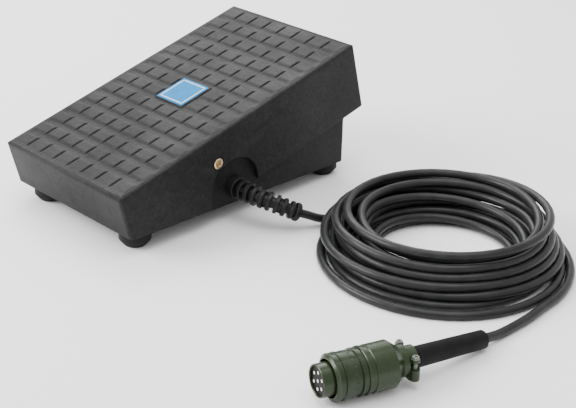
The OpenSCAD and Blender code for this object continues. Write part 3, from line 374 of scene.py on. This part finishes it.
# How the heap settles: a number of rounds, and in each of them the pull home, the fall and the stiffness.
SETTLING = [
    (240, 0.05, 0.02, 0.22),
    (100, 0.015, 0.02, 0.22),
    (40, 0.0, 0.02, 0.22),
    (20, 0.0, 0.0, 0.22),
    (20, 0.0, 0.0, 0.0),
]
CORD_MM = CORD_D / MM
STRAND_GAP = CORD_MM * 1.01        # from the middle of one strand to the middle of the next


def monotone(table, column, x):
    """Smooth interpolation of one column of a table over its first column, without overshoot."""
    xs = np.array([row[0] for row in table])
    ys = np.array([row[column] for row in table], float)
    rise = np.diff(ys) / np.diff(xs)
    slope = np.zeros(len(xs))
    same = rise[:-1] * rise[1:] > 0
    slope[1:-1][same] = 2 * rise[:-1][same] * rise[1:][same] / (rise[:-1] + rise[1:])[same]
    i = np.clip(np.searchsorted(xs, x) - 1, 0, len(xs) - 2)
    span = xs[i + 1] - xs[i]
    u = (x - xs[i]) / span
    return (
        ys[i] * (1 + 2 * u) * (1 - u) ** 2 + ys[i + 1] * u * u * (3 - 2 * u)
        + slope[i] * span * u * (1 - u) ** 2 - slope[i + 1] * span * u * u * (1 - u)
    )


def ramp(turns):
    """0 to 1 over a third of a turn."""
    return np.clip(turns * 3, 0, 1)


def heap_shape():
    """Angle, radius and height of the heap's points before it settles, and how free each is to move."""
    count = int(round(HEAP[-1][0] * TURN_POINTS)) + 1
    turn = np.arange(count) / TURN_POINTS
    angle = np.radians(COIL_START - 360 * turn)
    radius, height, outness = (monotone(HEAP, column, turn) for column in (1, 2, 3))
    free = ramp(np.minimum(turn, turn[-1] - turn))
    leaning = ramp(turn - LEANING_FROM) * ramp(LEANING_TO - turn)
    share = np.clip((height - CORD_MM / 2) / HEAP_RISE, 0, 1)
    toward = np.cos(angle - LEAN_SIDE)
    lean = (LEAN_FOOT + LEAN_TOP * share) * toward
    spread = SPREAD * np.cos(angle - SPREAD_SIDE) - OVAL * np.cos(2 * (angle - LEAN_SIDE))
    radius += (lean + spread * outness) * leaning
    height += LEAN_LIFT * share * toward * leaning
    rng = np.random.default_rng(WAVE_SEED)
    waves = (
        rng.normal(0, WAVE) * np.sin(turn * math.tau * rate + rng.uniform(0, 6)) for rate in WAVES_PER_TURN
    )
    radius += sum(waves) * free
    return angle, radius, height, free


def part_neighbours(radius, height, free):
    """Push every two strands that come too close apart, half each."""
    for k in range(1, len(radius) // TURN_POINTS + 1):
        far = k * TURN_POINTS
        across = radius[far:] - radius[:-far]
        up = height[far:] - height[:-far]
        distance = np.maximum(np.hypot(across, up), 1e-6)
        push = np.clip(STRAND_GAP - distance, 0, None) / distance * 0.5
        radius[far:] += push * across * free[far:]
        height[far:] += push * up * free[far:]
        radius[:-far] -= push * across * free[:-far]
        height[:-far] -= push * up * free[:-far]


def settle(radius, height, free):
    """Let the strands sink and part until each lies beside or on the next."""
    home_radius, home_height = radius.copy(), height.copy()
    for rounds, hold, fall, stiffness in SETTLING:
        for _ in range(rounds):
            radius += hold * (home_radius - radius) * free
            height += hold * (home_height - height) * free - fall * free
            for values in (radius, height):
                bend = values[:-2] + values[2:] - 2 * values[1:-1]
                values[1:-1] += stiffness * free[1:-1] * bend
            part_neighbours(radius, height, free)
            height = np.maximum(height, CORD_MM / 2)
            radius = np.clip(radius, *RING)
    return radius, height


def coil_points():
    """The middle of the cord in the coil."""
    angle, radius, height, free = heap_shape()
    radius, height = settle(radius, height, free)
    return [
        COIL + MM * Vector((r * math.cos(a), r * math.sin(a), z)) for r, z, a in zip(radius, height, angle)
    ]


def smooth(points):
    """Points of a smooth curve through the given ones."""
    p = [Vector(q) for q in points]
    out = []
    for i in range(len(p) - 1):
        a, b, c, d = p[max(i - 1, 0)], p[i], p[i + 1], p[min(i + 2, len(p) - 1)]
        for k in range(LINK_POINTS):
            t = k / LINK_POINTS
            square = (2 * a - 5 * b + 4 * c - d) * t * t
            cube = (3 * b - a - 3 * c + d) * t**3
            out.append(0.5 * (2 * b + (c - a) * t + square + cube))
    out.append(p[-1])
    return out


def cord_route():
    """The middle of the cord from the strain relief through the coil to the plug's sleeve."""
    turns = coil_points()
    start = smooth([RELIEF_END, *LEAD, turns[0], turns[2]])[:-LINK_POINTS]
    end = smooth([turns[-2], turns[-1], *TAIL, SLEEVE_END])[LINK_POINTS:]
    return start[:-1] + turns[:-1] + end


def make_tube(name, points, radius, material):
    """A round tube along one open spline."""
    curve = bpy.data.curves.new(name, "CURVE")
    curve.dimensions = "3D"
    curve.bevel_depth = radius
    curve.bevel_resolution = 6
    curve.use_fill_caps = True
    line = curve.splines.new("POLY")
    line.points.add(len(points) - 1)
    for target, p in zip(line.points, points):
        target.co = (*p, 1)
    line.use_smooth = True
    curve.materials.append(material)
    made = bpy.data.objects.new(name, curve)
    scene.collection.objects.link(made)
    return made


def make_cord():
    route = cord_route()
    cord = make_tube("cord", route, CORD_D / 2, JACKET)
    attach(cord, "base")
    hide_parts("cord_lead", "cord_coil", "cord_tail")


make_cord()


# ---------------------------------------------------------------- mesh helpers


def new_piece(name, build, material, body, crease=35, reorient=True):
    """A piece from a mesh under construction, with edges sharper than the crease angle kept sharp."""
    mesh = bpy.data.meshes.new(name)
    if reorient:
        bmesh.ops.recalc_face_normals(build, faces=build.faces)
    build.to_mesh(mesh)
    build.free()
    for face in mesh.polygons:
        face.use_smooth = True
    mesh.set_sharp_from_angle(angle=math.radians(crease))
    mesh.materials.append(material)
    piece = bpy.data.objects.new(name, mesh)
    scene.collection.objects.link(piece)
    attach(piece, body)
    return piece


def add_turned(build, profile, frame_at, sides):
    """A turned solid: profile is (distance, radius) pairs, frame_at gives a distance's point, side and up."""
    rings = []
    for along, radius in profile:
        point, side, up = frame_at(along)
        ring = []
        for k in range(sides):
            a = math.tau * k / sides
            ring.append(build.verts.new(point + side * (radius * math.cos(a)) + up * (radius * math.sin(a))))
        rings.append(ring)
    for one, two in zip(rings, rings[1:]):
        for k in range(sides):
            build.faces.new((one[k], one[(k + 1) % sides], two[(k + 1) % sides], two[k]))
    build.faces.new(rings[0])
    build.faces.new(rings[-1])


def add_block(build, middle, axes, half):
    """A rectangular block from its middle, three directions and three half lengths."""
    corners = []
    for sx in (-1, 1):
        for sy in (-1, 1):
            for sz in (-1, 1):
                corners.append(build.verts.new(
                    middle + axes[0] * (sx * half[0]) + axes[1] * (sy * half[1]) + axes[2] * (sz * half[2])
                ))
    for quad in ((0, 1, 3, 2), (4, 6, 7, 5), (0, 4, 5, 1), (2, 3, 7, 6), (0, 2, 6, 4), (1, 5, 7, 3)):
        build.faces.new([corners[i] for i in quad])


def in_metres(outline):
    """An outline given in millimetres."""
    return [(along * MM, radius * MM) for along, radius in outline]


# ---------------------------------------------------------------- strain relief

# the CAD model's boot: where it leaves the side of the base, and its bend in a tilted plane
NECK = Vector((71.5, -17.3, 27.8)) * MM
COLLAR = 8 * MM                               # length of the straight collar
BEND_R = 50.8 * MM
BEND = math.radians(61)
DIP = math.radians(-29)

# its ribs, each with a web before it that is turned a quarter from the last
COLLAR_R = 8.8 * MM
COLLAR_LIP = 0.5 * MM
LIP = 0.6 * MM                                # bevel of the ribs' edges
SQUARE = 0.01 * MM                            # length of a square shoulder
CORE_R = 4.6 * MM                             # between the ribs
RIBS = 8
RIB_GAP = 3 * MM
RIB_TAPER = 1.4 * MM                          # how much smaller the last rib is than the collar
TIP = 5 * MM
TIP_R = 7.6 * MM
TIP_GAP = 1.3 * MM
WEB_HALF_LENGTH = 1.7 * MM
WEB_HALF_WIDTH = 1.8 * MM
WEB_INSET = 1.6 * MM                          # from the rib's rim

# flange inside the base, neck in its side and foot of the collar: (distance, radius) in millimetres
FLANGE = [(-6, 3.6), (-6, 8.4), (-5.6, 8.8), (-3.4, 8.8), (-3.05, 7), (0.05, 7), (0.05, 8.4), (0.4, 8.8)]


def relief_frame(along):
    """Point, side and up of the strain relief's middle line, by the distance from the base's side."""
    if along <= COLLAR:
        return NECK + Vector((along, 0, 0)), Vector((0, 1, 0)), Vector((0, 0, 1))
    a = (along - COLLAR) / BEND_R
    tilt = Matrix.Rotation(DIP, 3, "X")
    bent = Vector((BEND_R * math.sin(a), BEND_R * (1 - math.cos(a)), 0))
    point = NECK + Vector((COLLAR, 0, 0)) + tilt @ bent
    return point, tilt @ Vector((-math.sin(a), math.cos(a), 0)), tilt @ Vector((0, 0, 1))


def relief_profile():
    """Outline of the ribbed boot, and (distance, turned, radius) of the web before each rib."""
    whole = COLLAR + BEND_R * BEND
    pitch = (whole - COLLAR - TIP) / RIBS
    profile = in_metres(FLANGE)
    profile += [(COLLAR - LIP, COLLAR_R), (COLLAR, COLLAR_R - COLLAR_LIP)]
    webs = []
    for i in range(RIBS):
        start = COLLAR + i * pitch
        end = start + pitch
        r = COLLAR_R - RIB_TAPER * (i + 1) / RIBS
        webs.append((start + RIB_GAP / 2, i % 2, r))
        profile += [
            (start + SQUARE, CORE_R), (start + RIB_GAP, CORE_R), (start + RIB_GAP, r - LIP),
            (start + RIB_GAP + LIP, r), (end - LIP, r), (end, r - LIP),
        ]
    tip = end + TIP_GAP
    profile += [
        (end + SQUARE, CORE_R), (tip, CORE_R), (tip, TIP_R - LIP), (tip + LIP, TIP_R),
        (whole - LIP, TIP_R), (whole, TIP_R - LIP), (whole, CORD_D / 2),
    ]
    return profile, webs


def make_relief():
    build = bmesh.new()
    profile, webs = relief_profile()
    add_turned(build, profile, relief_frame, sides=36)
    for along, turned, r in webs:
        point, side, up = relief_frame(along)
        forward = side.cross(up)
        axes = (forward, up, side) if turned else (forward, side, up)
        add_block(build, point, axes, (WEB_HALF_LENGTH, WEB_HALF_WIDTH, r - WEB_INSET))
    piece = new_piece("relief_boot", build, RELIEF, "base")
    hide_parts("strain_relief")


make_relief()


# ---------------------------------------------------------------- tread

SLOPE = math.radians(15)
TREAD_UP = Vector((0, -math.sin(SLOPE), math.cos(SLOPE)))
TREAD_BACK = Vector((0, math.cos(SLOPE), math.sin(SLOPE)))
ACROSS = Vector((1, 0, 0))
tread_middle = centre("emblem_plate")

# the CAD model's field of pads and its grooves
PITCH = 17.8 * MM
COLS = 8
ROWS = 14
GROOVE_HALF = 1.2 * MM
GROOVE_DEPTH = 1.2 * MM
BLOCK_HALF = PITCH - GROOVE_HALF              # the flat block in the middle that carries the emblem

# The moulded field: its grooves along the slope are narrow, and those across it are wide and soft. Each
# is deep up to the first distance from its middle, and ends at the second.
NARROW = (0.35 * MM, 1.3 * MM)
WIDE = (1.2 * MM, 5.4 * MM)
PAD_RISE = 1.05 * MM
RIM_FADE = 4 * MM                             # width over which the field runs out into the plain rim
RIM_SHARE = 0.25                              # depth of the outermost grooves against the others

# how far from a groove's middle the moulded surface has points, in millimetres
NARROW_POINTS = (0, 0.35, 0.65, 0.95, 1.3, 2.4, 4.0, 5.2, 8.9)
WIDE_POINTS = (0, 1.2, 2.0, 2.9, 3.8, 4.6, 5.4, 6.8, 8.9)

# How the CAD model's own pads go out of sight below the moulded surface.
WELD = 0.002 * MM                             # points closer than this are one
TOP_SKIN = 0.05 * MM                          # points this close to the top belong to the pads
BLOCK_MARGIN = 0.1 * MM                       # around the emblem's block, which stays
FLOOR_GAP = 0.02 * MM                         # from the grooves' floors to the sunken pads


def flat_place(point):
    """Across, along and up from the middle of the tread."""
    off = point - tread_middle
    return off.x, off.dot(TREAD_BACK), off.dot(TREAD_UP)


def dip(distance, flat, reach):
    """1 on a groove's floor, 0 beyond its reach, with a soft wall between."""
    t = min(max((distance - flat) / (reach - flat), 0), 1)
    return 1 - t * t * (3 - 2 * t)


def pad_level(x, u):
    """Height of the moulded surface against the tops of its pads."""
    side = COLS / 2 * PITCH - abs(x)
    end = ROWS / 2 * PITCH - abs(u)
    narrow = dip(abs(x - PITCH * round(x / PITCH)), *NARROW) * min(max(end / RIM_FADE, 0), 1)
    wide = dip(abs(u - PITCH * round(u / PITCH)), *WIDE) * min(max(side / RIM_FADE, 0), 1)
    if side < PITCH / 2:
        narrow *= RIM_SHARE
    if end < PITCH / 2:
        wide *= RIM_SHARE
    return -PAD_RISE * (1 - (1 - narrow) * (1 - wide))


def grid_lines(count, distances):
    """Places of the field's points along one direction, rounded so that none comes twice."""
    edge = round((count / 2 * PITCH + GROOVE_HALF) / MM, 3)
    places = set()
    for k in range(-count // 2, count // 2 + 1):
        for distance in distances:
            for sign in (-1, 1):
                place = round(k * PITCH / MM + sign * distance, 3)
                if abs(place) <= edge:
                    places.add(place)
    return [place * MM for place in sorted(places)]


def sink_cad_pads(build, top):
    """Lower the CAD model's own pads below the moulded surface, all but the emblem's block."""
    for v in build.verts:
        x, u, up = flat_place(v.co)
        in_field = abs(x) < COLS / 2 * PITCH and abs(u) < ROWS / 2 * PITCH
        in_block = abs(x) < BLOCK_HALF + BLOCK_MARGIN and abs(u) < BLOCK_HALF + BLOCK_MARGIN
        if in_field and not in_block and up > top - TOP_SKIN:
            v.co -= TREAD_UP * (GROOVE_DEPTH - FLOOR_GAP)


def add_pad_field(build, top):
    """The moulded surface over the whole field but the emblem's block."""
    xs = grid_lines(COLS, NARROW_POINTS)
    us = grid_lines(ROWS, WIDE_POINTS)
    origin = tread_middle + TREAD_UP * top
    grid = [
        [build.verts.new(origin + ACROSS * x + TREAD_BACK * u + TREAD_UP * pad_level(x, u)) for u in us]
        for x in xs
    ]
    for i in range(len(xs) - 1):
        for j in range(len(us) - 1):
            x, u = (xs[i] + xs[i + 1]) / 2, (us[j] + us[j + 1]) / 2
            if abs(x) > BLOCK_HALF or abs(u) > BLOCK_HALF:
                face = build.faces.new((grid[i][j], grid[i + 1][j], grid[i + 1][j + 1], grid[i][j + 1]))
                face.material_index = 1
    loose = [v for v in build.verts if not v.link_faces]
    bmesh.ops.delete(build, geom=loose, context="VERTS")


def make_cover():
    """The pedal cover, with its pad field made as a moulded surface of soft-edged pads."""
    build = bmesh.new()
    build.from_mesh(nodes["pedal_cover"].data)
    bmesh.ops.remove_doubles(build, verts=build.verts, dist=WELD)
    top = max(flat_place(v.co)[2] for v in build.verts)
    sink_cad_pads(build, top)
    add_pad_field(build, top)
    # walls and rim in the lighter copy of the enamel (painted light), the pad field in the tread's own colour
    piece = new_piece("tread_cover", build, COVER_WALLS_PAINTED_LIGHT, "pedal", crease=30, reorient=False)
    piece.data.materials.append(COVER)
    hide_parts("pedal_cover")


make_cover()


# ---------------------------------------------------------------- emblem

LINE_REACH = 13.6 * MM                        # from the plate's middle to the line's outer edge
LINE_HALF = 0.45 * MM
LINE_RISE = 0.06 * MM


def make_emblem_line():
    """A pale line just inside the edge of the bare plate."""
    corners = [v.co for v in nodes["emblem_plate"].data.vertices]
    top = max(c.dot(TREAD_UP) for c in corners)
    middle = sum(corners, Vector()) / len(corners)
    middle += TREAD_UP * (top - middle.dot(TREAD_UP))
    build = bmesh.new()
    for along, over in ((ACROSS, TREAD_BACK), (TREAD_BACK, ACROSS)):
        for sign in (-1, 1):
            place = middle + over * (sign * (LINE_REACH - LINE_HALF))
            add_block(build, place, (along, over, TREAD_UP), (LINE_REACH, LINE_HALF, LINE_RISE))
    new_piece("emblem_line", build, EMBLEM_LINE, "pedal")


make_emblem_line()


# ---------------------------------------------------------------- return springs


def make_spring(side):
    """A return spring between its seat in the base and the cover, as the CAD model has it."""
    node = "return_spring_" + side
    build = bmesh.new()
    build.from_mesh(nodes[node].data)
    piece = new_piece("spring_" + side, build, STEEL, "base", crease=60, reorient=False)
    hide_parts(node)
    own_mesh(piece)


make_spring("left")
make_spring("right")


# ---------------------------------------------------------------- pivot screws

# (distance, radius) in millimetres, from the screw's inner end and from its outer end
SCREW_POINT = [(0, 2.2), (0.4, 2.5)]
SCREW_HEAD = [
    (-1.2, 2.5), (-1.2, 4.1), (-0.95, 4.4), (-0.55, 4.4), (-0.15, 4.0), (0, 3.4),
    (0, 2.5), (-0.25, 2.25), (-2.9, 2.05), (-3.1, 0.2),
]


def make_pivot_screws():
    """Brass screws with a domed rim and a round-bottomed socket."""
    middle = centre("pivot_screws")
    reach = [v.co.x for v in nodes["pivot_screws"].data.vertices if v.co.x > 0]
    inner, outer = min(reach), max(reach)
    profile = [(inner + along, radius) for along, radius in in_metres(SCREW_POINT)]
    profile += [(outer + along, radius) for along, radius in in_metres(SCREW_HEAD)]
    build = bmesh.new()
    for sign in (-1, 1):

        def frame_at(along, sign=sign):
            return Vector((sign * along, middle.y, middle.z)), Vector((0, sign, 0)), Vector((0, 0, 1))

        add_turned(build, profile, frame_at, sides=28)
    piece = new_piece("pivot_heads", build, BRASS, "base")
    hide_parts("pivot_screws")


make_pivot_screws()


# ---------------------------------------------------------------- stage and light


def make_floor(half):
    """A floor that reaches so far from the origin on each side."""
    mesh = bpy.data.meshes.new("floor")
    build = bmesh.new()
    bmesh.ops.create_grid(build, x_segments=2, y_segments=2, size=half)
    build.to_mesh(mesh)
    build.free()
    floor = bpy.data.objects.new("floor", mesh)
    scene.collection.objects.link(floor)
    mesh.materials.append(paper("floor_paper", (0.8, 0.8, 0.8), 0.8))


def make_world(strength):
    """Even white light from all around."""
    world = bpy.data.worlds.new("world")
    world.use_nodes = True
    scene.world = world
    background = world.node_tree.nodes["Background"]
    background.inputs["Color"].default_value = (1, 1, 1, 1)
    background.inputs["Strength"].default_value = strength


def area_light(name, place, aim, width, height, power):
    """A softbox with its power in watts."""
    data = bpy.data.lights.new(name, "AREA")
    data.shape = "RECTANGLE"
    data.size = width
    data.size_y = height
    data.energy = power
    light = bpy.data.objects.new(name, data)
    scene.collection.objects.link(light)
    light.location = place
    light.rotation_mode = "QUATERNION"
    light.rotation_quaternion = (Vector(aim) - Vector(place)).to_track_quat("-Z", "Y")


make_floor(half=40)
make_world(strength=1.2)
area_light("key", (-1.0, -1.35, 1.05), aim=(0.1, 0, 0), width=1.3, height=1.1, power=65)
area_light("back_left", (-0.95, 0.55, 1.15), aim=(0.05, 0, 0.05), width=1.2, height=1.2, power=26)
area_light("overhead", (0.4, -0.2, 2.0), aim=(0.15, 0, 0), width=1.6, height=1.6, power=36)
